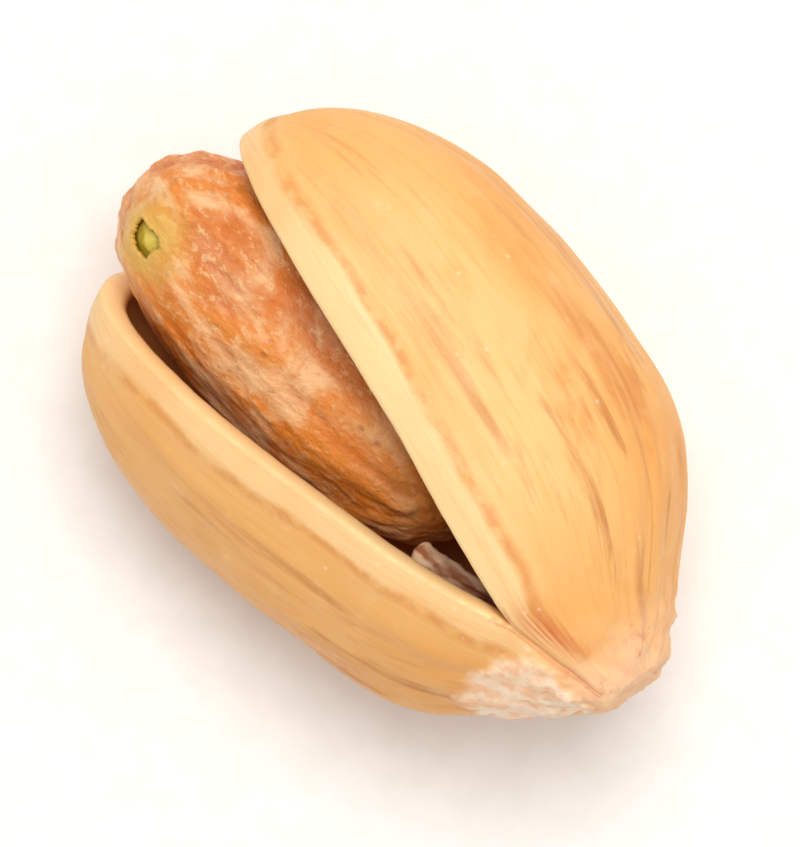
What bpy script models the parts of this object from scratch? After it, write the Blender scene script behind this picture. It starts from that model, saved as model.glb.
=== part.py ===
"""A pistachio in its split shell, lying on its side with the split facing up.

Run with: blender --background --python part.py

The nut is modelled along its own axis: X from the stem scar to the tip, Z from the
dorsal suture to the ventral suture, Y across the two valves. An empty then lays it
down on the ground plane, rolled a little onto its +Y valve. All lengths are metres.
"""

import math

import bmesh
import bpy
from mathutils import Vector

MM = 0.001

# Shell, measured closed
SHELL_LENGTH = 19.9 * MM  # stem scar to tip
SHELL_HALF_HEIGHT = 6.1 * MM  # axis to suture
SHELL_HALF_THICKNESS = 5.65 * MM  # axis to the side of a valve
SHELL_WALL = 0.9 * MM
SHELL_WIDEST = 0.45  # share of the length, from the stem scar
SCAR_INSET = 1.0 * MM  # length that the flat stem scar cuts off the base
TIP_LIFT = 3.2 * MM  # how far the tip curves towards the ventral suture
BASE_LIFT = 2.4 * MM
SUTURE_RIDGE = 0.08  # how pointed the section is at its two sutures

# How a form closes towards its base and its tip. A power of 2 and a taper of 0.5 are
# an ellipse; a higher power keeps the middle fuller, a higher taper is more conical.
SHELL_ACROSS = {"base": (2.3, 1.13), "tip": (2.9, 0.47)}
SHELL_UPRIGHT = {"base": (2.2, 0.75), "tip": (2.4, 0.5)}
SEED_FORM = {"base": (2.2, 0.5), "tip": (2.2, 0.56)}

# Split: where it starts from the stem scar, and how the valves spread
VENTRAL_SPLIT_START = 3.3 * MM
DORSAL_SPLIT_START = 11.0 * MM
DORSAL_FADE = 2.0  # how fast the dorsal side's own opening fades up the valves
SPREAD_LIMIT = 6.0 * MM  # what each valve's rim would reach on a much longer nut
SPREAD_LENGTH = 19.5 * MM
RIM_EASE = 0.05 * MM  # length over which the spreading sets in, at the rim
FLANK_EASE = 3.0 * MM  # and at the side of a valve
RIM_ROUND = 0.16 * MM
ON_SUTURE = 1e-7  # a vertex this near the suture plane lies on it

# Seed: the green kernel inside its papery coat
COAT_LENGTH = 14.5 * MM
COAT_HALF_HEIGHT = 3.95 * MM
COAT_HALF_THICKNESS = 3.5 * MM
COAT_WALL = 0.25 * MM
COAT_END = SHELL_LENGTH + 1.5 * MM  # its blunt end shows past the shell's tips
COAT_SIDE = 0.45 * MM  # its inner end leans towards the +Y valve
COAT_LIFT = 0.5 * MM
COAT_WIDEST = 0.47
PIECE_GAP = 0.3 * MM  # clearance between neighbouring pieces
TEAR_CENTRE = (0.86, math.radians(10))  # share of the length, angle from ventral
TEAR_SIZE = Vector((0.75, 0.6, 0.6)) * MM

# Seed stalk, from the inside of the shell's base to the seed
STALK_RADIUS = 0.3 * MM
STALK_START = Vector((1.9, 0.1, 1.0)) * MM
STALK_MIDDLE = Vector((4.4, 1.0, 2.2)) * MM
STALK_END = Vector((7.45, 1.75, 3.3)) * MM
STALK_FLARE = (1.5, 0.8, 1.2)  # thickness at those three places, as shares of the radius

# How the nut lies
ROLL = math.radians(21)  # the split leans this far towards +Y
PITCH = math.radians(10)  # the tip is this much lower than the stem scar
FLAT_DEPTH = 0.32 * MM  # how much the small resting flat takes off the shell

SHELL_SEGMENTS, SHELL_RINGS = 40, 32
COAT_SEGMENTS, COAT_RINGS = 32, 24
KERNEL_SEGMENTS, KERNEL_RINGS = 24, 16
TEAR_SEGMENTS = 16


def clear_scene():
    for obj in list(bpy.data.objects):
        bpy.data.objects.remove(obj)


def new_collection(name):
    collection = bpy.data.collections.new(name)
    bpy.context.scene.collection.children.link(collection)
    return collection


def material(name, colour, roughness):
    made = bpy.data.materials.new(name)
    made.use_nodes = True
    shader = made.node_tree.nodes["Principled BSDF"]
    shader.inputs["Base Color"].default_value = (*colour, 1.0)
    shader.inputs["Roughness"].default_value = roughness
    shader.inputs["Metallic"].default_value = 0.0
    return made


def object_from(bm, name, collection, surface):
    mesh = bpy.data.meshes.new(name)
    bm.normal_update()
    bmesh.ops.recalc_face_normals(bm, faces=bm.faces)
    bm.to_mesh(mesh)
    bm.free()
    mesh.shade_smooth()
    mesh.materials.append(surface)
    obj = bpy.data.objects.new(name, mesh)
    collection.objects.link(obj)
    return obj


def fullness(share, widest, form):
    """Half-width of an ovoid at a share of its length, as a share of its largest."""
    if share < widest:
        away, (power, taper) = (widest - share) / widest, form["base"]
    else:
        away, (power, taper) = (share - widest) / (1 - widest), form["tip"]
    return max(0.0, 1 - away**power) ** taper


def axis_height(x):
    """The nut's axis bows up towards the ventral suture at both ends."""
    share = min(max((x + SCAR_INSET) / (SHELL_LENGTH + SCAR_INSET), 0.0), 1.0)
    return TIP_LIFT * share**3 + BASE_LIFT * (1 - share) ** 3


def sphere(segments, rings):
    """A unit sphere whose poles lie on Z and whose seams lie on whole segments."""
    bm = bmesh.new()
    bmesh.ops.create_uvsphere(bm, u_segments=segments, v_segments=rings, radius=1)
    return bm


def sphere_place(co):
    """A unit-sphere vertex as a share along the nut and an angle from ventral."""
    return (1 - co.z) / 2, math.atan2(co.y, co.x)


def shell_surface(share, angle):
    """Outside of the closed shell."""
    x = max(share * (SHELL_LENGTH + SCAR_INSET) - SCAR_INSET, 0.0)
    across = SHELL_HALF_THICKNESS * fullness(share, SHELL_WIDEST, SHELL_ACROSS)
    upright = SHELL_HALF_HEIGHT * fullness(share, SHELL_WIDEST, SHELL_UPRIGHT)
    side = math.sin(angle) * abs(math.sin(angle)) ** SUTURE_RIDGE
    return Vector((x, across * side, upright * math.cos(angle) + axis_height(x)))


def spread(distance, ease):
    """How far a rim has moved from the suture plane, and how steeply it leaves it."""
    reach = math.hypot(distance, ease)
    falloff = math.exp(-(distance + reach) / 2 / SPREAD_LENGTH)
    slope = SPREAD_LIMIT / SPREAD_LENGTH * falloff * (1 + distance / reach) / 2
    return SPREAD_LIMIT * (1 - falloff), slope


def opened(point, side):
    """A point of the closed shell, once the valve on that side has swung outwards."""
    height = (point.z - axis_height(point.x)) / SHELL_HALF_HEIGHT
    dorsal = min(max(0.5 - 0.5 * height, 0.0), 1.0) ** DORSAL_FADE
    flank = abs(point.y) / SHELL_HALF_THICKNESS
    ease = RIM_EASE + (FLANK_EASE - RIM_EASE) * flank
    top_moved, top_slope = spread(point.x - VENTRAL_SPLIT_START, ease)
    low_moved, low_slope = spread(point.x - DORSAL_SPLIT_START, ease)
    moved = (1 - dorsal) * top_moved + dorsal * low_moved
    slope = (1 - dorsal) * top_slope + dorsal * low_slope
    return Vector((point.x - abs(point.y) * slope, point.y + side * moved, point.z))


def is_split(vert):
    """True for a vertex of the suture line where the shell has come apart."""
    ventral = vert.co.z > axis_height(vert.co.x)
    start = VENTRAL_SPLIT_START if ventral else DORSAL_SPLIT_START
    return abs(vert.co.y) < ON_SUTURE and vert.co.x > start


def build_shell(collection):
    """Two valves grown together at the stem end, as one open surface given a wall."""
    bm = sphere(SHELL_SEGMENTS, SHELL_RINGS)
    for vert in bm.verts:
        vert.co = shell_surface(*sphere_place(vert.co))
    suture = [e for e in bm.edges if all(abs(v.co.y) < ON_SUTURE for v in e.verts)]
    torn = [e for e in suture if any(is_split(v) for v in e.verts)]
    bmesh.ops.split_edges(bm, edges=torn)
    for vert in bm.verts:
        across = sum(face.calc_center_median().y for face in vert.link_faces)
        vert.tag = across > 0
    for vert in bm.verts:
        vert.co = opened(vert.co, 1 if vert.tag else -1)
    surface = material("shell_bone", (0.86, 0.62, 0.33), 0.55)
    shell = object_from(bm, "shell", collection, surface)
    wall = shell.modifiers.new("wall", "SOLIDIFY")
    wall.thickness = SHELL_WALL
    wall.offset = -1
    wall.use_even_offset = True
    rim = shell.modifiers.new("rounded_rim", "BEVEL")
    rim.width = RIM_ROUND
    rim.segments = 1
    rim.limit_method = "ANGLE"
    rim.angle_limit = math.radians(50)
    return shell


def seed_surface(share, angle, inset):
    """Outside of the seed, drawn in by inset."""
    length = COAT_LENGTH - 2 * inset
    size = fullness(share, COAT_WIDEST, SEED_FORM)
    x = COAT_END - COAT_LENGTH + inset + share * length
    y = size * (COAT_HALF_THICKNESS - inset) * math.sin(angle) + COAT_SIDE * (1 - share)
    z = size * (COAT_HALF_HEIGHT - inset) * math.cos(angle) + COAT_LIFT
    return Vector((x, y, z + axis_height(x)))


def build_coat(collection):
    """The papery seed coat: a closed surface given a wall."""
    bm = sphere(COAT_SEGMENTS, COAT_RINGS)
    for vert in bm.verts:
        vert.co = seed_surface(*sphere_place(vert.co), 0)
    surface = material("coat_skin", (0.45, 0.17, 0.07), 0.6)
    coat = object_from(bm, "seed_coat", collection, surface)
    wall = coat.modifiers.new("wall", "SOLIDIFY")
    wall.thickness = COAT_WALL
    wall.offset = -1
    wall.use_even_offset = True
    return coat


def build_kernel(collection):
    """The green seed leaves, one solid inside the coat."""
    bm = sphere(KERNEL_SEGMENTS, KERNEL_RINGS)
    for vert in bm.verts:
        vert.co = seed_surface(*sphere_place(vert.co), COAT_WALL + PIECE_GAP)
    surface = material("kernel_flesh", (0.42, 0.45, 0.08), 0.5)
    return object_from(bm, "kernel", collection, surface)


def build_stalk(collection):
    """The dried stalk that fed the seed, a short bent cord in the empty base."""
    curve = bpy.data.curves.new("seed_stalk", "CURVE")
    curve.dimensions = "3D"
    curve.bevel_depth = STALK_RADIUS
    curve.bevel_resolution = 2
    curve.resolution_u = 6
    curve.use_fill_caps = True
    spline = curve.splines.new("BEZIER")
    spline.bezier_points.add(2)
    places = zip(spline.bezier_points, (STALK_START, STALK_MIDDLE, STALK_END), STALK_FLARE)
    for knot, place, thickness in places:
        knot.co = place
        knot.radius = thickness
        knot.handle_left_type = "AUTO"
        knot.handle_right_type = "AUTO"
    curve.materials.append(material("stalk_fibre", (0.55, 0.33, 0.16), 0.8))
    stalk = bpy.data.objects.new("seed_stalk", curve)
    collection.objects.link(stalk)
    return stalk


def corners_in_world(objects):
    """Every evaluated vertex of these objects, in world space."""
    bpy.context.view_layer.update()
    graph = bpy.context.evaluated_depsgraph_get()
    points = []
    for obj in objects:
        evaluated = obj.evaluated_get(graph)
        mesh = evaluated.to_mesh()
        points += [evaluated.matrix_world @ v.co for v in mesh.vertices]
        evaluated.to_mesh_clear()
    return points


def middle(values):
    return (min(values) + max(values)) / 2


def lay_down(pieces, collection):
    """Turns the nut onto its side and stands it on the ground at the origin."""
    pose = bpy.data.objects.new("resting_pose", None)
    pose.rotation_euler = (-ROLL, PITCH, 0)
    collection.objects.link(pose)
    for piece in pieces:
        piece.parent = pose
    points = corners_in_world(pieces)
    pose.location = (
        -middle([p.x for p in points]),
        -middle([p.y for p in points]),
        -min(p.z for p in points) - FLAT_DEPTH,
    )
    return pose


def cutter_from(bm, name, collection):
    mesh = bpy.data.meshes.new(name)
    bm.to_mesh(mesh)
    bm.free()
    cutter = bpy.data.objects.new(name, mesh)
    cutter.hide_render = True
    cutter.display_type = "WIRE"
    collection.objects.link(cutter)
    return cutter


def cut(piece, cutter, name):
    difference = piece.modifiers.new(name, "BOOLEAN")
    difference.operation = "DIFFERENCE"
    difference.solver = "EXACT"
    difference.object = cutter


def tear_coat(coat, pose, collection):
    """Opens the coat near its free end, where the green kernel shows."""
    bm = sphere(TEAR_SEGMENTS, TEAR_SEGMENTS // 2)
    bmesh.ops.scale(bm, vec=TEAR_SIZE, verts=bm.verts)
    cutter = cutter_from(bm, "tear_cutter", collection)
    cutter.location = seed_surface(*TEAR_CENTRE, COAT_WALL / 2)
    cutter.parent = pose
    cut(coat, cutter, "tear")


def cut_resting_flat(shell, collection):
    """Takes the lowest part of the shell off at the ground plane."""
    bm = bmesh.new()
    bmesh.ops.create_cube(bm, size=2 * SHELL_LENGTH)
    cutter = cutter_from(bm, "ground_cutter", collection)
    cutter.location.z = -SHELL_LENGTH
    cut(shell, cutter, "resting_flat")


def main():
    clear_scene()
    nut = new_collection("pistachio_in_shell")
    cutters = new_collection("cutters")
    shell = build_shell(nut)
    coat = build_coat(nut)
    pose = lay_down([shell, coat, build_kernel(nut), build_stalk(nut)], nut)
    tear_coat(coat, pose, cutters)
    cut_resting_flat(shell, cutters)


main()
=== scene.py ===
import math

import bmesh
import bpy
import numpy as np
from mathutils import Euler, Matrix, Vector


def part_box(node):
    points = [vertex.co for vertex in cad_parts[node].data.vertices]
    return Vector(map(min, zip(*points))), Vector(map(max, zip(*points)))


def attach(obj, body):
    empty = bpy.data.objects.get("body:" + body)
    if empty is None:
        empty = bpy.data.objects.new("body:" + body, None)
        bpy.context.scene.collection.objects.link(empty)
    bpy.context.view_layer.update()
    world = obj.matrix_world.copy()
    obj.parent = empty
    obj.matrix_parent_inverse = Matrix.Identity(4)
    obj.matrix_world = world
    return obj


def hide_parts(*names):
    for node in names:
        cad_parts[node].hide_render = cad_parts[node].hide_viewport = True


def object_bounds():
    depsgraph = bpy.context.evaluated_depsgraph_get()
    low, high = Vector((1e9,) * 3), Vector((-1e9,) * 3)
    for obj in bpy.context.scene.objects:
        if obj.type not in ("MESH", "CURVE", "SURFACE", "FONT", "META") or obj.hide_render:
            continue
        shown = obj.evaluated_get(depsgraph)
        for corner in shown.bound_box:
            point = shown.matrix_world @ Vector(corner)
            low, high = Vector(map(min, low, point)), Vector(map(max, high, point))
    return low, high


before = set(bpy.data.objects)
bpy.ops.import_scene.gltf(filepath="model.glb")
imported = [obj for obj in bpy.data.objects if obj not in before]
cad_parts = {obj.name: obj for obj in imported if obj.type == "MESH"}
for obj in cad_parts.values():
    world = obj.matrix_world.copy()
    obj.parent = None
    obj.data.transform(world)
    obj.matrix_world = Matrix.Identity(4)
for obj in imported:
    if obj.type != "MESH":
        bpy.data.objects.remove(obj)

boxLow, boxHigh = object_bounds()
mm = 0.001
print("packed nut loaded:", [round(v / mm, 2) for v in boxHigh - boxLow], "mm")

# the nut's own axes: X from the stem scar to the tip, Z up through the two sutures,
# Y across the valves; every length below is in millimetres
nut = {
    "roll": 21.0,          # degrees, the split leans towards +Y
    "pitch": 10.0,         # degrees, the nut lies nose down
    "length": 19.9,
    "scarInset": 1.0,
    "widest": 0.45,
    "tipLift": 3.2,
    "baseLift": 2.4,
}


def smooth(low, high, v):
    t = np.clip((v - low) / (high - low), 0, 1)
    return t * t * (3 - 2 * t)


def noise(x, y, z, seed):
    # gradient noise, about -1 to 1, one value per point
    p = np.stack(np.broadcast_arrays(x, y, z), -1).astype(float)
    cell = np.floor(p).astype(np.int64)
    f = p - cell
    ease = f * f * f * (f * (f * 6 - 15) + 10)
    total = np.zeros(p.shape[:-1])
    for corner in np.ndindex(2, 2, 2):
        i, j, k = (cell[..., n] + corner[n] for n in range(3))
        h = (i * 374761393 + j * 668265263 + k * 1274126177 + seed * 97531) & 0xFFFFFFFF
        h = ((h ^ (h >> 13)) * 1274126177) & 0xFFFFFFFF
        h = ((h ^ (h >> 15)) * 2246822519) & 0xFFFFFFFF
        h ^= h >> 16
        weight = np.ones(p.shape[:-1])
        slope = np.zeros(p.shape[:-1])
        for n in range(3):
            gradient = ((h >> (n * 10)) & 1023) / 511.5 - 1
            slope += gradient * (f[..., n] - corner[n])
            weight *= ease[..., n] if corner[n] else 1 - ease[..., n]
        total += weight * slope
    return total * 1.3


def fractal(x, y, z, seed, layers=4, gain=0.5):
    total, size, scale = 0, 1.0, 1.0
    for layer in range(layers):
        total = total + size * noise(x * scale, y * scale, z * scale, seed + layer * 17)
        size, scale = size * gain, scale * 2.03
    return total


# the valves' form, before and after they open
shell = {
    "halfHeight": 6.1,
    "halfThickness": 5.65,
    "sideBase": (2.3, 1.13),   # power and taper towards the scar, seen from the split
    "sideTip": (2.9, 0.47),
    "uprightBase": (2.2, 0.75),
    "uprightTip": (2.4, 0.5),
    "sutureRidge": 0.08,
    "wall": 0.86,
    "wallThicker": 0.25,       # the wall's extra share at the scar
    "wallUneven": 0.05,
    "ventralSplit": 3.3,       # where the split starts, from the scar
    "dorsalSplit": 11.0,
    "dorsalFade": 2.0,
    "spreadLimit": 6.0,
    "spreadLength": 19.5,
    "rimEase": 0.05,
    "flankEase": 3.0,
    "rows": 168,
    "columns": 112,
    "lipSteps": 7,
    "lipBulge": 0.13,
    "lipUneven": 0.02,
}


def fullness(share, base, tip, widest):
    towardsBase = share < widest
    away = np.where(towardsBase, (widest - share) / widest, (share - widest) / (1 - widest))
    away = np.clip(away, 0, 1)
    low = np.maximum(1 - away ** base[0], 0) ** base[1]
    high = np.maximum(1 - away ** tip[0], 0) ** tip[1]
    return np.where(towardsBase, low, high)


def axisHeight(x):
    share = np.clip((x + nut["scarInset"]) / (nut["length"] + nut["scarInset"]), 0, 1)
    return nut["tipLift"] * share ** 3 + nut["baseLift"] * (1 - share) ** 3


def closedShell(share, around):
    # outside of the shell before it split; around runs 0 at the ventral suture to pi at the dorsal
    x = np.maximum(share * (nut["length"] + nut["scarInset"]) - nut["scarInset"], 0)
    widest = nut["widest"]
    across = shell["halfThickness"] * fullness(share, shell["sideBase"], shell["sideTip"], widest)
    upright = shell["halfHeight"] * fullness(share, shell["uprightBase"], shell["uprightTip"], widest)
    side = np.sin(around) * np.abs(np.sin(around)) ** shell["sutureRidge"]
    return np.stack([x, across * side, upright * np.cos(around) + axisHeight(x)], -1)


def spread(distance, ease):
    reach = np.hypot(distance, ease)
    falloff = np.exp(-(distance + reach) / 2 / shell["spreadLength"])
    slope = shell["spreadLimit"] / shell["spreadLength"] * falloff * (1 + distance / reach) / 2
    return shell["spreadLimit"] * (1 - falloff), slope


def swingOpen(p, side):
    # each valve swings out from the stem end
    x, y, z = p[..., 0], p[..., 1], p[..., 2]
    dorsal = np.clip(0.5 - 0.5 * (z - axisHeight(x)) / shell["halfHeight"], 0, 1) ** shell["dorsalFade"]
    fromSeam = np.abs(y) / shell["halfThickness"]
    ease = shell["rimEase"] + (shell["flankEase"] - shell["rimEase"]) * fromSeam
    topMove, topSlope = spread(x - shell["ventralSplit"], ease)
    lowMove, lowSlope = spread(x - shell["dorsalSplit"], ease)
    move = (1 - dorsal) * topMove + dorsal * lowMove
    slope = (1 - dorsal) * topSlope + dorsal * lowSlope
    return np.stack([x - np.abs(y) * slope, y + side * move, z], -1)


def unit(v):
    return v / np.maximum(np.linalg.norm(v, axis=-1, keepdims=True), 1e-12)


def poleGrid(rows, columns, sweep):
    # share of the length, closer together at both ends, and the angle around
    share = (1 - np.cos(np.linspace(0, np.pi, rows))) / 2
    return np.meshgrid(share, np.linspace(0, sweep, columns), indexing="ij")


# the transform from the nut's axes to the ground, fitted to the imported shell's box
turn = np.array(Euler((-math.radians(nut["roll"]), math.radians(nut["pitch"]), 0)).to_matrix())


def fitPose():
    share, around = poleGrid(90, 60, np.pi)
    valves = []
    for side in (1, -1):
        p = closedShell(share, around) * (1, side, 1)
        valves.append(swingOpen(p, side).reshape(-1, 3))
    p = np.vstack(valves) @ turn.T
    low, high = (np.array(v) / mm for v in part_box("shell"))
    shift = (low + high) / 2 - (p.min(0) + p.max(0)) / 2
    shift[2] = high[2] - p[:, 2].max()
    return shift


shift = fitPose()


def toGround(p):
    # nut axes in millimetres to world metres; nothing reaches under the resting flat
    q = p.reshape(-1, 3) @ turn.T + shift
    q[:, 2] = np.maximum(q[:, 2], 0.0)
    return q * mm


weld = 2e-7   # metres, closes the grids at their poles and seams


def makePiece(name, points, faces, attributes):
    mesh = bpy.data.meshes.new(name)
    mesh.from_pydata(points.tolist(), [], faces)
    for key, values in attributes.items():
        layer = mesh.attributes.new(key, "FLOAT", "POINT")
        layer.data.foreach_set("value", np.ascontiguousarray(values, np.float32).ravel())
    piece = bpy.data.objects.new(name, mesh)
    bpy.context.scene.collection.objects.link(piece)
    bm = bmesh.new()
    bm.from_mesh(mesh)
    bmesh.ops.remove_doubles(bm, verts=bm.verts, dist=weld)
    bmesh.ops.dissolve_degenerate(bm, edges=bm.edges, dist=weld)
    bmesh.ops.recalc_face_normals(bm, faces=bm.faces)
    bm.to_mesh(mesh)
    bm.free()
    mesh.shade_smooth()
    return piece


def gridFaces(start, rows, columns):
    r, c = np.meshgrid(np.arange(rows - 1), np.arange(columns - 1), indexing="ij")
    a = start + r * columns + c
    return np.stack([a, a + 1, a + columns + 1, a + columns], -1).reshape(-1, 4).tolist()


# how far the shell's outside stands above or below its form
shellRelief = {
    "lump": 0.12,          # broad unevenness
    "ridge": 0.10,         # lines that run from the stem end along the valves
    "ridgeCount": 13.0,
    "lipRise": 0.06,       # the suture's raised lip
    "lipWidth": 1.15,
    "lipGroove": 0.035,    # shallow channel along the lip's outer edge
    "crack": 0.16,         # depth of the closed suture's line behind the split
    "scarRough": 0.16,
    "scarReach": 2.2,      # how far the torn stem end reaches from the scar
    "flapPlace": (2.0, 0.66),   # a scab of dried husk on the +Y valve: distance from the scar, angle
    "flapSize": (1.9, 0.62),
    "flapRise": 0.13,
    "flapFlakes": 0.07,
    "flapRagged": 0.28,
}


def flapShape(p, around, side):
    # 1 on the scab of dried husk, 0 off it, with a ragged edge
    x, y, z = p[..., 0], p[..., 1], p[..., 2]
    along = (x - shellRelief["flapPlace"][0]) / shellRelief["flapSize"][0]
    across = (around - shellRelief["flapPlace"][1]) / shellRelief["flapSize"][1]
    edge = fractal(x * 1.1, y * 1.1, z * 1.1, 25, 3, 0.6)
    ragged = np.hypot(along, across) + shellRelief["flapRagged"] * edge
    return (1 - smooth(0.72, 1.0, ragged)) * (side > 0)


def shellDetail(p, share, around, side):
    # how far the outside stands proud, in millimetres, from the closed form's own places
    x, y, z = p[..., 0], p[..., 1], p[..., 2]
    d = shellRelief["lump"] * fractal(x * 0.22, y * 0.26, z * 0.26, 3, 2)
    run = around * shellRelief["ridgeCount"] / math.pi
    waver = 0.5 * noise(x * 0.3, run * 0.3, side * 2.0, 8)
    lines = fractal(x * 0.10 + side * 3.1, run * 1.0 + waver, side * 1.7, 11, 3, 0.6)
    lineFade = smooth(0.6, 2.2, np.abs(y)) * (0.35 + 0.65 * (1 - smooth(0.25, 0.8, share)))
    d = d + shellRelief["ridge"] * lineFade * (lines - 0.5 * np.abs(lines))
    seam = np.abs(y)
    split = np.where(z > axisHeight(x), shell["ventralSplit"], shell["dorsalSplit"])
    opening = smooth(-1.5, 1.5, x - split)
    lip = (1 - smooth(0.6 * shellRelief["lipWidth"], 1.1 * shellRelief["lipWidth"], seam))
    groove = np.exp(-((seam - 1.35 * shellRelief["lipWidth"]) / 0.28) ** 2)
    raised = shellRelief["lipRise"] * lip - shellRelief["lipGroove"] * groove
    d = d + opening * raised * (0.8 + 0.5 * noise(x * 0.5, 0 * x, side * 4.0, 21))
    d = d - shellRelief["crack"] * np.exp(-(seam / 0.13) ** 2) * (1 - opening) * smooth(0.2, 1.0, x)
    reach = shellRelief["scarReach"]
    torn = 1 - smooth(0.5 * reach, reach, x + 0.5 * noise(x, y * 0.8, z * 0.8, 31))
    flakes = fractal(x * 1.3, y * 1.1, z * 1.1, 41, 4, 0.6)
    flap = flapShape(p, around, side)
    d = d + torn * shellRelief["scarRough"] * flakes
    return d + flap * (shellRelief["flapRise"] + shellRelief["flapFlakes"] * flakes)


shellStain = {
    "place": 2.5,          # the rusty stain beside the closed suture, from the scar
    "length": 1.0,
    "fromSeam": 0.55,
    "width": 0.5,
    "sutureWidth": 0.12,
    "sutureShare": 0.8,
    "sutureFrom": 0.3,
    "pastSplit": 0.5,
    "valveAmberAndShade": 0.52,     # how amber the +Y valve is all over: partly its own amber, partly painted shade of the lower valve
    "ripeScar": 0.6,       # and both valves near the scar
    "ripeTip": 0.5,        # and the -Y one at its tip
}


def stained(closed, seam, side):
    # 1 where rust shows, beside the closed suture on the -Y valve and along the suture itself
    x = closed[..., 0]
    along = (x - shellStain["place"]) / shellStain["length"]
    across = (seam - shellStain["fromSeam"]) / shellStain["width"]
    stain = np.exp(-along ** 2 - across ** 2) * (side < 0) * (closed[..., 2] > 0)
    closedPart = (x < shell["ventralSplit"] + shellStain["pastSplit"]) * (x > shellStain["sutureFrom"])
    suture = np.exp(-(seam / shellStain["sutureWidth"]) ** 2) * closedPart
    return np.maximum(stain, shellStain["sutureShare"] * suture)


def amberAndValveShade(share, side):
    # how far the bone has turned amber, plus painted shade over all of the +Y valve
    scarEnd = (1 - smooth(0.10, 0.48, share)) * (1 - 0.3 * (side > 0))
    tipEnd = smooth(0.60, 0.95, share) * (side < 0)
    amberAndShade = shellStain["valveAmberAndShade"] * (side > 0) + shellStain["ripeScar"] * scarEnd
    return amberAndShade + shellStain["ripeTip"] * tipEnd


def buildShell():
    rows, columns = shell["rows"], shell["columns"]
    share, around = poleGrid(rows, columns, np.pi)
    step = 1e-4   # for the slopes
    points, faces = [], []
    keep = {key: [] for key in ("seam", "share", "around", "inside", "lip", "flap", "rust", "amberAndShade")}
    start = 0

    def add(p, **values):
        # one grid of points with its attributes, 0 where one isn't given
        nonlocal start
        points.append(toGround(p))
        for key in keep:
            keep[key].append(np.broadcast_to(values.get(key, 0.0), p.shape[:2]).ravel())
        first = start
        start += p.shape[0] * p.shape[1]
        return first

    for side in (1, -1):
        closed = closedShell(share, around)
        across = closedShell(share, around + step) - closedShell(share, around - step)
        inner = np.clip(share, 0.004, 0.996)   # away from both poles
        after, before = np.minimum(inner + step, 1), np.maximum(inner - step, 0)
        along = closedShell(after, around) - closedShell(before, around)
        normal = unit(np.cross(across, along))
        normal[0], normal[-1] = (-1, 0, 0), (1, 0, 0)
        flip = np.sign((normal[rows // 2, columns // 2] * (0, 1, 0)).sum())
        normal[1:-1] *= flip
        flatScar = closed[..., 0] <= 0
        normal[flatScar] = (-1, 0, 0)
        wall = shell["wall"] * (1 + shell["wallThicker"] * (1 - share) ** 3)
        wall = wall + shell["wallUneven"] * noise(*np.moveaxis(closed * 0.5, -1, 0), 71)
        seam = np.abs(closed[..., 1])
        mirror = np.array((1, side, 1))
        lift = shellDetail(closed * mirror, share, around, side)
        outside = (closed + normal * lift[..., None]) * mirror
        inside = (closed - normal * wall[..., None]) * mirror
        for grid in (outside, inside):
            grid[:, 0, 1] = 0
            grid[:, -1, 1] = 0
        outside, inside = swingOpen(outside, side), swingOpen(inside, side)
        joined = {0: closed[:, 0, 0] <= shell["ventralSplit"], -1: closed[:, -1, 0] <= shell["dorsalSplit"]}
        for column, rowsJoined in joined.items():
            for grid in (outside, inside):
                grid[rowsJoined, column, 1] = 0
        skin = {
            "flap": flapShape(closed * mirror, around, side),
            "rust": stained(closed, seam, side),
            "amberAndShade": amberAndValveShade(share, side),
        }
        firstOut = add(outside, seam=seam, share=share, around=around, **skin)
        faces += gridFaces(firstOut, rows, columns)
        firstIn = add(inside, seam=seam, share=share, around=around, inside=1.0)
        faces += gridFaces(firstIn, rows, columns)

        # the rounded lip between outside and inside, from one end of the split over the tip to the other
        top = np.nonzero(joined[0])[0][-1]
        low = np.nonzero(joined[-1])[0][-1]
        path = [(r, 0) for r in range(top, rows)] + [(r, columns - 1) for r in range(rows - 2, low - 1, -1)]
        r, c = (np.array(v) for v in zip(*path))
        t = np.linspace(0, 1, shell["lipSteps"])[None, :, None]
        o, i = outside[r, c][:, None, :], inside[r, c][:, None, :]
        gapHere = np.abs(o[:, :, 1]) + 1e-9
        rough = shell["lipUneven"] * noise(o[:, :, 0] * 2.2, t[..., 0] * 2.0, o[:, :, 2] * 2.2 + side, 55)
        bulge = shell["lipBulge"] * np.sin(np.pi * t[..., 0]) ** 0.7 + rough
        bulge = np.minimum(bulge, 0.45 * gapHere)   # the two lips never meet
        lipPoints = o * (1 - t) + i * t
        lipPoints[..., 1] -= side * np.where(t[..., 0] * (1 - t[..., 0]) > 0, bulge, 0)
        depth = t[..., 0]
        onLip = np.sin(np.pi * depth) ** 0.3 * (depth * (1 - depth) > 0)
        place = {"share": share[r, c][:, None], "around": around[r, c][:, None]}
        firstLip = add(lipPoints, inside=depth, lip=onLip, **place)
        faces += gridFaces(firstLip, len(path), shell["lipSteps"])
    values = {key: np.concatenate(v) for key, v in keep.items()}
    return makePiece("nut_shell", np.vstack(points), faces, values)


shellPiece = buildShell()
print("shell built:", len(shellPiece.data.polygons), "faces")

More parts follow.
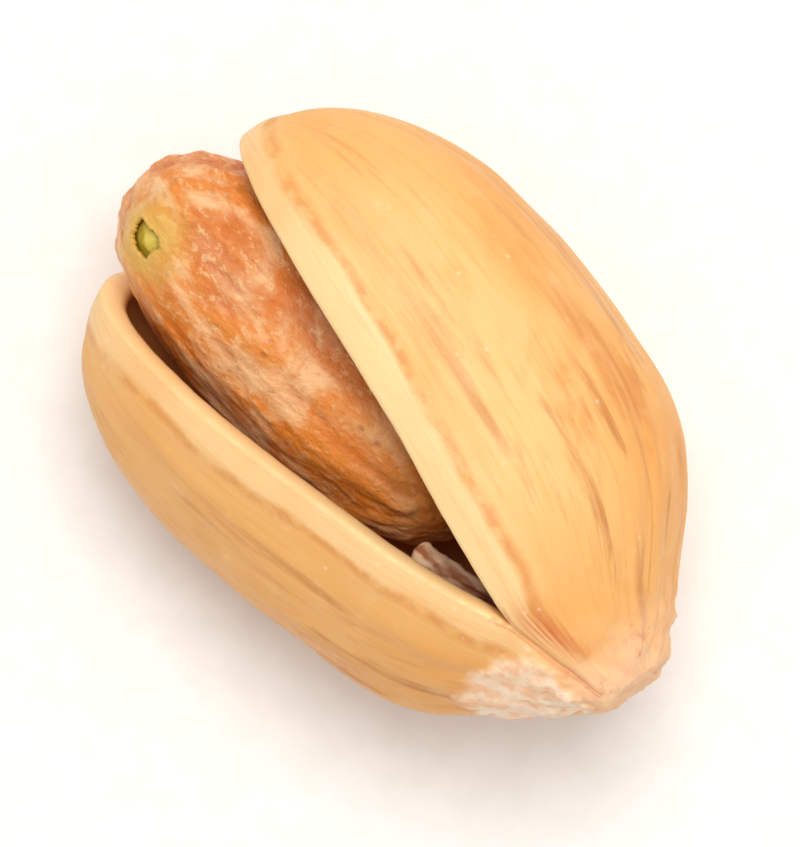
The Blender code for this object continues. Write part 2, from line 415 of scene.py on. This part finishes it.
# the seed lies along the split, its free end past the valves' tips
seed = {
    "length": 14.5,
    "halfHeight": 3.95,
    "halfThickness": 3.68,
    "end": 21.4,
    "side": 0.45,
    "lift": 0.5,
    "widest": 0.47,
    "formBase": (2.2, 0.5),
    "formTip": (2.2, 0.51),
    "coatWall": 0.16,
    "rows": 170,
    "columns": 220,
    "kernelRows": 90,
    "kernelColumns": 120,
    "tear": (0.86, 10.0),      # share of the length, degrees from ventral
    "tearSize": 0.50,
    "tearRagged": 0.22,
    "tearCurl": 0.02,
    "kernelUnder": 0.22,       # from the coat's inner face to the kernel
    "kernelRise": (0.16, 0.15),    # under the tear: round it, and in it
    "kernelUneven": 0.02,
    "wrinkle": 0.17,
    "groove": 0.24,
    "dent": 0.12,
    "sunk": 0.06,
}


def seedForm(share, around, inset):
    length = seed["length"] - 2 * inset
    size = fullness(share, seed["formBase"], seed["formTip"], seed["widest"])
    x = seed["end"] - seed["length"] + inset + share * length
    y = size * (seed["halfThickness"] - inset) * np.sin(around) + seed["side"] * (1 - share)
    z = size * (seed["halfHeight"] - inset) * np.cos(around) + seed["lift"]
    return np.stack([x, y, z + axisHeight(x)], -1)


def seedDetail(share, around):
    # lengthwise wrinkles and broad dents of the dried skin
    x = share * seed["length"]
    reach = 1.25 * fullness(share, seed["formBase"], seed["formTip"], seed["widest"])
    reach = np.clip(reach, 0, 1)   # brings the wrinkles together at both ends
    run = (reach * np.cos(around), reach * np.sin(around))
    bend = 0.6 * noise(x * 0.25, run[0] * 1.2, run[1] * 1.2, 5)
    wrinkle = fractal(x * 0.22 + bend, run[0] * 2.9 + bend, run[1] * 2.9, 61, 4, 0.55)
    dent = noise(x * 0.35, run[0] * 1.3, run[1] * 1.3, 77)
    fold = -np.abs(noise(x * 0.16, run[0] * 1.9 + bend * 0.6, run[1] * 1.9, 93)) + 0.25
    ends = smooth(0.0, 0.10, share) * (1 - smooth(0.92, 1.0, share))
    d = seed["wrinkle"] * wrinkle + seed["dent"] * dent
    return (d + seed["groove"] * fold * ends) - seed["sunk"]


def tearShape(share, around):
    # distance from the torn spot on the coat's outside, plain and with a ragged edge
    base = seedForm(share, around, 0)
    place, angle = seed["tear"]
    tearPlace = seedForm(np.array(place), np.array(math.radians(angle)), 0)
    away = np.linalg.norm(base - tearPlace, axis=-1)
    return away, away + seed["tearRagged"] * fractal(*np.moveaxis(base * 1.3, -1, 0), 12, 3)


def buildCoat():
    rows, columns = seed["rows"], seed["columns"]
    share, around = poleGrid(rows, columns, 2 * np.pi)
    base = seedForm(share, around, 0)
    normal = unit(base - seedForm(np.clip(share, 0.02, 0.98), around, 1.0))
    away, ragged = tearShape(share, around)
    curl = np.exp(-((ragged - seed["tearSize"]) / 0.22) ** 2) * (ragged > seed["tearSize"] * 0.8)
    lift = seedDetail(share, around)
    lift = lift * smooth(0.2, 1.4, away) + seed["tearCurl"] * curl
    outside = base + normal * lift[..., None]
    inside = outside - normal * seed["coatWall"]
    outside[:, -1], inside[:, -1] = outside[:, 0], inside[:, 0]
    ragged[:, -1] = ragged[:, 0]
    points = np.vstack([toGround(outside), toGround(inside)])
    count = rows * columns
    quads = np.array(gridFaces(0, rows, columns))
    kept = (ragged.ravel()[quads] > seed["tearSize"]).all(1)
    quads = quads[kept]
    faces = quads.tolist() + (quads[:, ::-1] + count).tolist()
    # close the torn edge between the two faces of the skin
    ends = np.concatenate([quads[:, [0, 1]], quads[:, [1, 2]], quads[:, [2, 3]], quads[:, [3, 0]]])
    sortedEnds = np.sort(ends, axis=1)
    _, first, counts = np.unique(sortedEnds, axis=0, return_index=True, return_counts=True)
    tearEdge = ends[first[counts == 1]]
    column = tearEdge % columns
    row = tearEdge // columns
    onSeam = ((column == 0) | (column == columns - 1)).all(1)
    onPole = (row == 0).all(1) | (row == rows - 1).all(1)
    for a, b in tearEdge[~(onSeam | onPole)]:
        faces.append([int(b), int(a), int(a) + count, int(b) + count])
    values = {"share": share, "relief": lift, "tear": ragged}
    values = {key: np.concatenate([v.ravel(), v.ravel()]) for key, v in values.items()}
    piece = makePiece("seed_coat_skin", points, faces, values)
    bm = bmesh.new()
    bm.from_mesh(piece.data)
    loose = [v for v in bm.verts if not v.link_faces]   # left inside the tear
    bmesh.ops.delete(bm, geom=loose, context="VERTS")
    bm.to_mesh(piece.data)
    bm.free()
    return piece


def buildKernel():
    rows, columns = seed["kernelRows"], seed["kernelColumns"]
    share, around = poleGrid(rows, columns, 2 * np.pi)
    base = seedForm(share, around, seed["coatWall"] + seed["kernelUnder"])
    normal = unit(base - seedForm(np.clip(share, 0.02, 0.98), around, 1.4))
    away, ragged = tearShape(share, around)
    lift = np.minimum(seedDetail(share, around), 0.05) * smooth(0.2, 1.4, away)
    # it fills the tear, and stays under the coat's inner face all round it
    under, within = seed["kernelRise"]
    lift = lift + under * (1 - smooth(0.7, 1.1, away)) + within * (1 - smooth(0.22, 0.46, ragged))
    lift = lift + seed["kernelUneven"] * fractal(*np.moveaxis(base * 1.5, -1, 0), 88, 3)
    p = base + normal * lift[..., None]
    p[:, -1] = p[:, 0]
    return makePiece("seed_kernel", toGround(p), gridFaces(0, rows, columns), {})


coatPiece = buildCoat()
kernelPiece = buildKernel()
print("coat built:", len(coatPiece.data.polygons), "faces")
print("kernel built:", len(kernelPiece.data.polygons), "faces")

# the dried cord that held the seed, from near the scar to the seed
stalk = {
    "route": ((1.9, 0.1, 1.0), (3.1, 0.5, 1.7), (4.4, 1.0, 2.2), (6.0, 1.5, 2.8), (7.45, 1.75, 3.3)),
    "thickness": (0.40, 0.30, 0.22, 0.30, 0.46),
    "rings": 90,
    "sides": 28,
    "twist": 3.0,
    "ridges": ((0.10, 3, 0), (0.06, 7, 2)),   # height, how many, where the first lies
    "knots": 0.38,
}


def buildStalk():
    t = np.linspace(0, 1, stalk["rings"])
    at = np.linspace(0, 1, len(stalk["route"]))
    route = np.array(stalk["route"])
    # a smooth curve through the route's points
    fit = [np.polyfit(at, route[:, n], 3) for n in range(3)]
    centre = np.stack([np.polyval(f, t) for f in fit], -1)
    thick = np.polyval(np.polyfit(at, stalk["thickness"], 3), t)
    along = unit(np.gradient(centre, axis=0))
    sideways = unit(np.cross(along, (0, 0, 1)))
    upwards = np.cross(sideways, along)
    along01, ringAngle = np.meshgrid(t, np.linspace(0, 2 * np.pi, stalk["sides"]), indexing="ij")
    twist = ringAngle + along01 * stalk["twist"]
    fibres = sum(high * np.sin(twist * many + first) for high, many, first in stalk["ridges"])
    knots = fractal(along01 * 7, np.cos(ringAngle), np.sin(ringAngle), 14, 3)
    fibres = fibres + stalk["knots"] * knots
    cap = np.sqrt(np.clip(1 - (np.abs(2 * along01 - 1)) ** 14, 0, 1))   # rounds both ends
    r = thick[:, None] * (1 + fibres) * cap
    r[0], r[-1] = 0, 0
    p = centre[:, None] + sideways[:, None] * (r * np.cos(ringAngle))[..., None]
    p = p + upwards[:, None] * (r * np.sin(ringAngle))[..., None]
    p[:, -1] = p[:, 0]
    faces = gridFaces(0, stalk["rings"], stalk["sides"])
    return makePiece("seed_stalk_cord", toGround(p), faces, {"fibre": fibres})


stalkPiece = buildStalk()
print("stalk built:", len(stalkPiece.data.polygons), "faces")


def srgb(r, g, b):
    # screen values, 0 to 255, to the linear ones that a shader takes
    parts = (r / 255, g / 255, b / 255)
    return tuple(c / 12.92 if c <= 0.04045 else ((c + 0.055) / 1.055) ** 2.4 for c in parts) + (1.0,)


class Nodes:
    # short hand for building a node tree
    def __init__(self, name):
        self.material = bpy.data.materials.new(name)
        self.material.use_nodes = True
        self.tree = self.material.node_tree
        self.shader = self.tree.nodes["Principled BSDF"]
        self.place = self.tree.nodes.new("ShaderNodeTexCoord").outputs["Object"]

    def link(self, value, socket):
        if hasattr(value, "is_output"):
            self.tree.links.new(value, socket)
        else:
            socket.default_value = value

    def attribute(self, name):
        node = self.tree.nodes.new("ShaderNodeAttribute")
        node.attribute_name = name
        return node.outputs["Fac"]

    def math(self, operation, a, b=0.0):
        node = self.tree.nodes.new("ShaderNodeMath")
        node.operation = operation
        self.link(a, node.inputs[0])
        self.link(b, node.inputs[1])
        return node.outputs[0]

    def times(self, a, b):
        return self.math("MULTIPLY", a, b)

    def stretch(self, scale, offset=(0, 0, 0)):
        # the object's own place turned into the nut's axes, then scaled to cycles per millimetre
        node = self.tree.nodes.new("ShaderNodeMapping")
        node.vector_type = "TEXTURE"
        lean = (-math.radians(nut["roll"]), math.radians(nut["pitch"]), 0)
        node.inputs["Rotation"].default_value = lean
        self.link(self.place, node.inputs["Vector"])
        second = self.tree.nodes.new("ShaderNodeMapping")
        second.inputs["Scale"].default_value = tuple(s / mm for s in scale)
        second.inputs["Location"].default_value = offset
        self.link(node.outputs[0], second.inputs["Vector"])
        return second.outputs[0]

    def combine(self, x, y, z):
        node = self.tree.nodes.new("ShaderNodeCombineXYZ")
        for value, socket in zip((x, y, z), node.inputs):
            self.link(value, socket)
        return node.outputs[0]

    def noise(self, vector, detail=4.0, rough=0.55, bend=0.0, scale=1.0):
        node = self.tree.nodes.new("ShaderNodeTexNoise")
        node.inputs["Scale"].default_value = scale
        node.inputs["Detail"].default_value = detail
        node.inputs["Roughness"].default_value = rough
        node.inputs["Distortion"].default_value = bend
        self.link(vector, node.inputs["Vector"])
        return node.outputs["Fac"]

    def cells(self, vector):
        node = self.tree.nodes.new("ShaderNodeTexVoronoi")
        node.feature = "F1"
        node.inputs["Scale"].default_value = 1.0
        self.link(vector, node.inputs["Vector"])
        return node.outputs["Distance"]

    def ramp(self, value, low, high, fromLow=0.0, fromHigh=1.0):
        node = self.tree.nodes.new("ShaderNodeMapRange")
        node.interpolation_type = "SMOOTHSTEP"
        ends = {"From Min": low, "From Max": high, "To Min": fromLow, "To Max": fromHigh}
        for key, v in ends.items():
            node.inputs[key].default_value = v
        self.link(value, node.inputs["Value"])
        return node.outputs["Result"]

    def mix(self, share, a, b):
        node = self.tree.nodes.new("ShaderNodeMix")
        node.data_type = "RGBA"
        node.blend_type = "MIX"
        self.link(share, node.inputs["Factor"])
        self.link(a, node.inputs[6])
        self.link(b, node.inputs[7])
        return node.outputs[2]

    def bump(self, height, distance, strength, under=None):
        node = self.tree.nodes.new("ShaderNodeBump")
        node.inputs["Distance"].default_value = distance * mm
        node.inputs["Strength"].default_value = strength
        self.link(height, node.inputs["Height"])
        if under is not None:
            self.link(under, node.inputs["Normal"])
        return node.outputs["Normal"]

    def glow(self, values):
        weight, radius, reach = values
        self.shader.inputs["Subsurface Weight"].default_value = weight
        self.shader.inputs["Subsurface Radius"].default_value = radius
        self.shader.inputs["Subsurface Scale"].default_value = reach * mm


shellLook = {
    "cream": srgb(252, 214, 156),
    "tan": srgb(248, 198, 128),
    "amber": srgb(230, 150, 60),
    "streak": srgb(180, 104, 46),
    "edge": srgb(214, 134, 62),
    "pink": srgb(252, 200, 158),
    "rust": srgb(200, 98, 52),
    "husk": srgb(255, 228, 200),
    "salt": srgb(253, 234, 212),
    # painted shade for the inside of the hollow, deeper towards the stem end
    "liningShade": srgb(206, 142, 78),
    "liningDeepShade": srgb(186, 108, 48),
    "roughness": (0.42, 0.62),
    "ior": 1.48,
    "specular": 0.42,
    "glow": (0.12, (1.0, 0.5, 0.22), 0.9),   # light under the surface: share, per colour, millimetres
}


def shellMaterial():
    n = Nodes("shellBone")
    look = shellLook
    seam, share, around, inside = (n.attribute(k) for k in ("seam", "share", "around", "inside"))
    broad = n.noise(n.stretch((0.16, 0.22, 0.22)), 3.0, 0.5)
    mottle = n.noise(n.stretch((0.9, 1.2, 1.2)), 5.0, 0.6)

    # lines that follow the valve from the stem end: place by angle, drawn out along the length
    lineField = n.combine(n.times(share, 2.2), n.times(around, 7.0), n.times(seam, 0.10))
    lines = n.noise(lineField, 6.0, 0.62, 0.4)
    fineField = n.combine(n.times(share, 5.0), n.times(around, 26.0), n.times(seam, 0.25))
    fine = n.noise(fineField, 5.0, 0.6, 0.2)

    # the pale band beside the split, narrower where the bone is amber and where the +Y valve carries
    # painted shade
    rimWidth = n.math("ADD", seam, n.times(n.math("SUBTRACT", broad, 0.5), 1.4))
    rimWidth = n.math("ADD", rimWidth, n.times(n.attribute("amberAndShade"), 0.5))
    colour = n.mix(n.ramp(rimWidth, 0.9, 1.35), look["cream"], look["tan"])
    # a thin darker line where the band meets the valve's side
    band = n.times(n.ramp(rimWidth, 0.95, 1.2), n.ramp(rimWidth, 1.55, 1.25))
    colour = n.mix(n.times(band, n.ramp(mottle, 0.40, 0.62, 0.15, 0.75)), colour, look["edge"])

    # amber on the flanks, partly the bone's colour and partly painted shade towards the outline; in broad
    # clouds; and where the bone has ripened, with painted shade over the +Y valve
    colour = n.mix(n.ramp(seam, 3.6, 5.6, 0.0, 0.45), colour, look["amber"])
    colour = n.mix(n.times(n.ramp(broad, 0.45, 0.72), 0.40), colour, look["amber"])
    # the bone's own amber, and the painted shade of the +Y valve
    amberAndShade = n.times(n.attribute("amberAndShade"), n.ramp(seam, 0.3, 2.2, 0.25, 0.8))
    colour = n.mix(amberAndShade, colour, look["amber"])

    streaks = n.times(n.ramp(lines, 0.53, 0.68), n.ramp(seam, 1.2, 2.8))
    streaks = n.times(streaks, n.ramp(share, 0.85, 0.30, 0.45, 1.0))
    colour = n.mix(n.times(streaks, 0.7), colour, look["streak"])
    # broader bruised bands, mostly in the half towards the stem end
    bandField = n.combine(n.times(share, 3.2), n.times(around, 2.6), n.times(inside, 2.0))
    bands = n.ramp(n.noise(bandField, 4.0, 0.6, 0.5), 0.50, 0.66)
    bands = n.times(n.times(bands, n.ramp(seam, 1.4, 2.6)), n.ramp(share, 0.8, 0.4, 0.15, 1.0))
    colour = n.mix(n.times(bands, n.ramp(fine, 0.35, 0.6, 0.35, 0.85)), colour, look["edge"])
    colour = n.mix(n.times(n.ramp(fine, 0.48, 0.75), 0.30), colour, look["amber"])
    colour = n.mix(n.times(n.ramp(mottle, 0.50, 0.75), 0.20), colour, look["cream"])

    # the stem end: pinkish torn skin, a pale scab of husk, rusty stains
    endNoise = n.noise(n.stretch((0.55, 0.6, 0.6), (3, 1, 2)), 5.0, 0.65)
    stemEnd = n.ramp(n.math("SUBTRACT", share, n.times(endNoise, 0.16)), 0.08, -0.03)
    colour = n.mix(n.times(stemEnd, 0.75), colour, look["pink"])
    scab = n.times(n.attribute("flap"), n.ramp(endNoise, 0.25, 0.5, 0.55, 0.95))
    crumbs = n.noise(n.stretch((1.6, 1.9, 1.9), (4, 4, 9)), 5.0, 0.65)
    husk = n.mix(n.ramp(crumbs, 0.45, 0.62), look["husk"], look["pink"])
    colour = n.mix(scab, colour, husk)
    stain = n.times(n.attribute("rust"), n.ramp(fine, 0.38, 0.58, 0.15, 0.85))
    colour = n.mix(stain, colour, look["rust"])
    spots = n.noise(n.stretch((1.1, 1.3, 1.3), (7, 3, 1)), 5.0, 0.65)
    spots = n.times(n.ramp(spots, 0.55, 0.70), stemEnd)
    colour = n.mix(n.times(spots, 0.6), colour, look["rust"])

    # a dusting of salt
    salt = n.ramp(n.cells(n.stretch((1.5, 1.5, 1.5))), 0.16, 0.05)
    saltWhere = n.noise(n.stretch((0.3, 0.3, 0.3), (5, 5, 5)), 2.0)
    salt = n.times(salt, n.ramp(saltWhere, 0.5, 0.65))
    colour = n.mix(n.times(salt, 0.3), colour, look["salt"])

    # the rim shows the paler cut wall; the lining's colour is painted shade of the hollow, darker than the
    # bone and deepest at the stem end
    cutWall = n.mix(0.35, look["cream"], look["tan"])
    colour = n.mix(n.times(n.attribute("lip"), 0.75), colour, cutWall)
    liningShade = n.mix(n.ramp(share, 0.55, 0.20), look["liningShade"], look["liningDeepShade"])
    colour = n.mix(n.ramp(inside, 0.6, 1.0), colour, liningShade)
    n.link(colour, n.shader.inputs["Base Color"])

    dull = n.noise(n.stretch((0.8, 1.0, 1.0), (1, 2, 3)), 4.0)
    n.link(n.ramp(dull, 0.35, 0.7, *look["roughness"]), n.shader.inputs["Roughness"])
    normal = n.bump(fine, 0.05, 0.5)
    normal = n.bump(n.noise(n.stretch((3.5, 4.5, 4.5)), 6.0, 0.65), 0.035, 0.55, normal)
    n.link(normal, n.shader.inputs["Normal"])
    n.shader.inputs["IOR"].default_value = look["ior"]
    n.shader.inputs["Specular IOR Level"].default_value = look["specular"]
    n.glow(look["glow"])
    return n.material


coatLook = {
    "orange": srgb(236, 138, 50),
    "deep": srgb(206, 100, 24),
    "inner": srgb(250, 150, 56),
    "pink": srgb(255, 200, 146),
    "pit": srgb(104, 44, 14),
    "yellow": srgb(230, 182, 84),
    "roughness": (0.30, 0.55),
    "glow": (0.15, (1.0, 0.35, 0.12), 0.8),
}


def coatMaterial():
    n = Nodes("coatSkin")
    look = coatLook
    relief, tear, share = n.attribute("relief"), n.attribute("tear"), n.attribute("share")
    grain = n.stretch((0.45, 1.0, 1.0))
    patches = n.noise(n.stretch((0.35, 0.55, 0.55), (2, 4, 1)), 5.0, 0.62, 0.6)
    veins = n.noise(grain, 7.0, 0.66, 0.8)
    colour = n.mix(n.ramp(patches, 0.42, 0.62), look["orange"], look["pink"])
    colour = n.mix(n.times(n.ramp(relief, 0.0, -0.20), 0.7), colour, look["deep"])
    colour = n.mix(n.times(n.ramp(veins, 0.56, 0.70), 0.55), colour, look["deep"])
    colour = n.mix(n.times(n.ramp(veins, 0.46, 0.34), 0.5), colour, look["pink"])
    grit = n.noise(n.stretch((2.2, 3.4, 3.4), (1, 5, 2)), 5.0, 0.72, 0.3)
    colour = n.mix(n.times(n.ramp(grit, 0.53, 0.64), 0.65), colour, look["pink"])
    colour = n.mix(n.times(n.ramp(grit, 0.44, 0.34), 0.45), colour, look["deep"])
    colour = n.mix(n.ramp(share, 0.55, 0.15, 0.0, 0.45), colour, look["inner"])
    pits = n.ramp(n.cells(n.stretch((1.2, 2.0, 2.0))), 0.26, 0.08)
    pits = n.times(pits, n.ramp(n.noise(n.stretch((0.6, 0.6, 0.6), (9, 1, 4)), 2.0), 0.48, 0.6))
    colour = n.mix(n.times(pits, 0.4), colour, look["pit"])
    colour = n.mix(n.ramp(tear, 1.9, 0.45, 0.0, 0.85), colour, look["yellow"])
    n.link(colour, n.shader.inputs["Base Color"])
    n.link(n.ramp(veins, 0.35, 0.65, *look["roughness"]), n.shader.inputs["Roughness"])
    normal = n.bump(veins, 0.14, 0.9)
    normal = n.bump(grit, 0.09, 0.9, normal)
    n.link(normal, n.shader.inputs["Normal"])
    n.glow(look["glow"])
    return n.material


kernelLook = {
    "green": srgb(188, 168, 44),
    "pale": srgb(222, 196, 84),
    "roughness": (0.35, 0.5),
    "glow": (0.2, (0.7, 1.0, 0.3), 0.8),
}


def kernelMaterial():
    n = Nodes("kernelFlesh")
    look = kernelLook
    field = n.noise(n.stretch((0.9, 1.2, 1.2)), 5.0, 0.6)
    colour = n.mix(n.ramp(field, 0.4, 0.65), look["green"], look["pale"])
    n.link(colour, n.shader.inputs["Base Color"])
    n.link(n.ramp(field, 0.3, 0.7, *look["roughness"]), n.shader.inputs["Roughness"])
    n.link(n.bump(n.noise(n.stretch((2.5, 3.5, 3.5)), 5.0), 0.04, 0.6), n.shader.inputs["Normal"])
    n.glow(look["glow"])
    return n.material


stalkLook = {
    "pale": srgb(255, 214, 176),
    "brown": srgb(188, 116, 70),
    "roughness": (0.6, 0.8),
}


def stalkMaterial():
    n = Nodes("stalkFibre")
    look = stalkLook
    grain = n.noise(n.stretch((0.8, 3.0, 3.0)), 5.0)
    # browner in the grooves between the fibres and paler on their ridges: painted shade; the grain adds
    # random tone
    shade = n.ramp(n.math("ADD", n.attribute("fibre"), grain), 0.7, 0.3)
    n.link(n.mix(shade, look["pale"], look["brown"]), n.shader.inputs["Base Color"])
    n.link(n.ramp(grain, 0.3, 0.7, *look["roughness"]), n.shader.inputs["Roughness"])
    n.link(n.bump(grain, 0.06, 0.7), n.shader.inputs["Normal"])
    return n.material


for piece, made, slot, node in (
    (shellPiece, shellMaterial(), "shell_bone", "shell"),
    (coatPiece, coatMaterial(), "coat_skin", "seed_coat"),
    (kernelPiece, kernelMaterial(), "kernel_flesh", "kernel"),
    (stalkPiece, stalkMaterial(), "stalk_fibre", "seed_stalk"),
):
    piece.data.materials.append(made)
    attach(piece, "root")
    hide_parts(node)
print("materials set")

studio = {
    "floorColour": srgb(246, 245, 243),
    "floorFleck": srgb(250, 249, 248),
    "floorRadius": 0.9,
    "floorGrain": 900.0,
    "floorRoughness": 0.85,
    "floorSpecular": 0.1,
    "worldColour": (1.0, 0.985, 0.965, 1.0),
    "worldStrength": 0.60,
    "lightsAway": 0.30,    # metres
    # each light: where it stands (right and up in the picture, and above), size, power, colour
    "key": ((0.05, 0.28, 0.95), 0.16, 0.57, (1.0, 0.97, 0.92)),
    "fill": ((0.8, -0.1, 0.6), 0.224, 0.07, (1.0, 0.98, 0.96)),
}

camera = {
    "lens": 250.0,
    "sensor": 36.0,
    "heading": -131.7,     # degrees, turns the picture so that the tip points up and to the left
    "halfHeight": 0.0128,  # half of what the picture's long side shows, metres
    "tilt": 0.0,
}


def buildFloor():
    mesh = bpy.data.meshes.new("floor")
    bm = bmesh.new()
    bmesh.ops.create_circle(bm, cap_ends=True, segments=96, radius=studio["floorRadius"])
    bm.to_mesh(mesh)
    bm.free()
    floor = bpy.data.objects.new("floor", mesh)
    bpy.context.scene.collection.objects.link(floor)
    n = Nodes("floorPaper")
    grain = n.noise(n.place, 4.0, 0.5, 0.0, studio["floorGrain"])
    colour = n.mix(n.ramp(grain, 0.3, 0.7), studio["floorColour"], studio["floorFleck"])
    n.link(colour, n.shader.inputs["Base Color"])
    n.shader.inputs["Roughness"].default_value = studio["floorRoughness"]
    n.shader.inputs["Specular IOR Level"].default_value = studio["floorSpecular"]
    mesh.materials.append(n.material)


def areaLight(name, place, aim, size, power, colour):
    data = bpy.data.lights.new(name, "AREA")
    data.shape = "DISK"
    data.size = size
    data.energy = power
    data.color = colour
    light = bpy.data.objects.new(name, data)
    light.location = place
    light.rotation_euler = (Vector(aim) - Vector(place)).to_track_quat("-Z", "Y").to_euler()
    bpy.context.scene.collection.objects.link(light)


def buildStudio():
    world = bpy.data.worlds.new("studio")
    bpy.context.scene.world = world
    world.use_nodes = True
    background = world.node_tree.nodes["Background"]
    background.inputs["Color"].default_value = studio["worldColour"]
    background.inputs["Strength"].default_value = studio["worldStrength"]
    heading = math.radians(camera["heading"])
    right = Vector((math.cos(heading), math.sin(heading), 0))
    up = Vector((-math.sin(heading), math.cos(heading), 0))
    middle = (boxLow + boxHigh) / 2
    for name in ("key", "fill"):
        (sideways, upwards, above), size, power, colour = studio[name]
        place = right * sideways + up * upwards + Vector((0, 0, above))
        areaLight(name, middle + place * studio["lightsAway"], middle, size, power, colour)


def buildCamera():
    data = bpy.data.cameras.new("camera")
    data.lens = camera["lens"]
    data.sensor_width = camera["sensor"]
    away = camera["halfHeight"] / (camera["sensor"] / 2 / camera["lens"])
    data.clip_start, data.clip_end = away * 0.1, 20.0
    seen = bpy.data.objects.new("camera", data)
    middle = (boxLow + boxHigh) / 2
    seen.rotation_euler = Euler((math.radians(camera["tilt"]), 0, math.radians(camera["heading"])))
    back = seen.rotation_euler.to_matrix() @ Vector((0, 0, 1))
    seen.location = middle + back * away
    bpy.context.scene.collection.objects.link(seen)
    bpy.context.scene.camera = seen


buildFloor()
buildStudio()
buildCamera()
bpy.context.scene.view_settings.view_transform = "Standard"
print("floor, light and camera set")
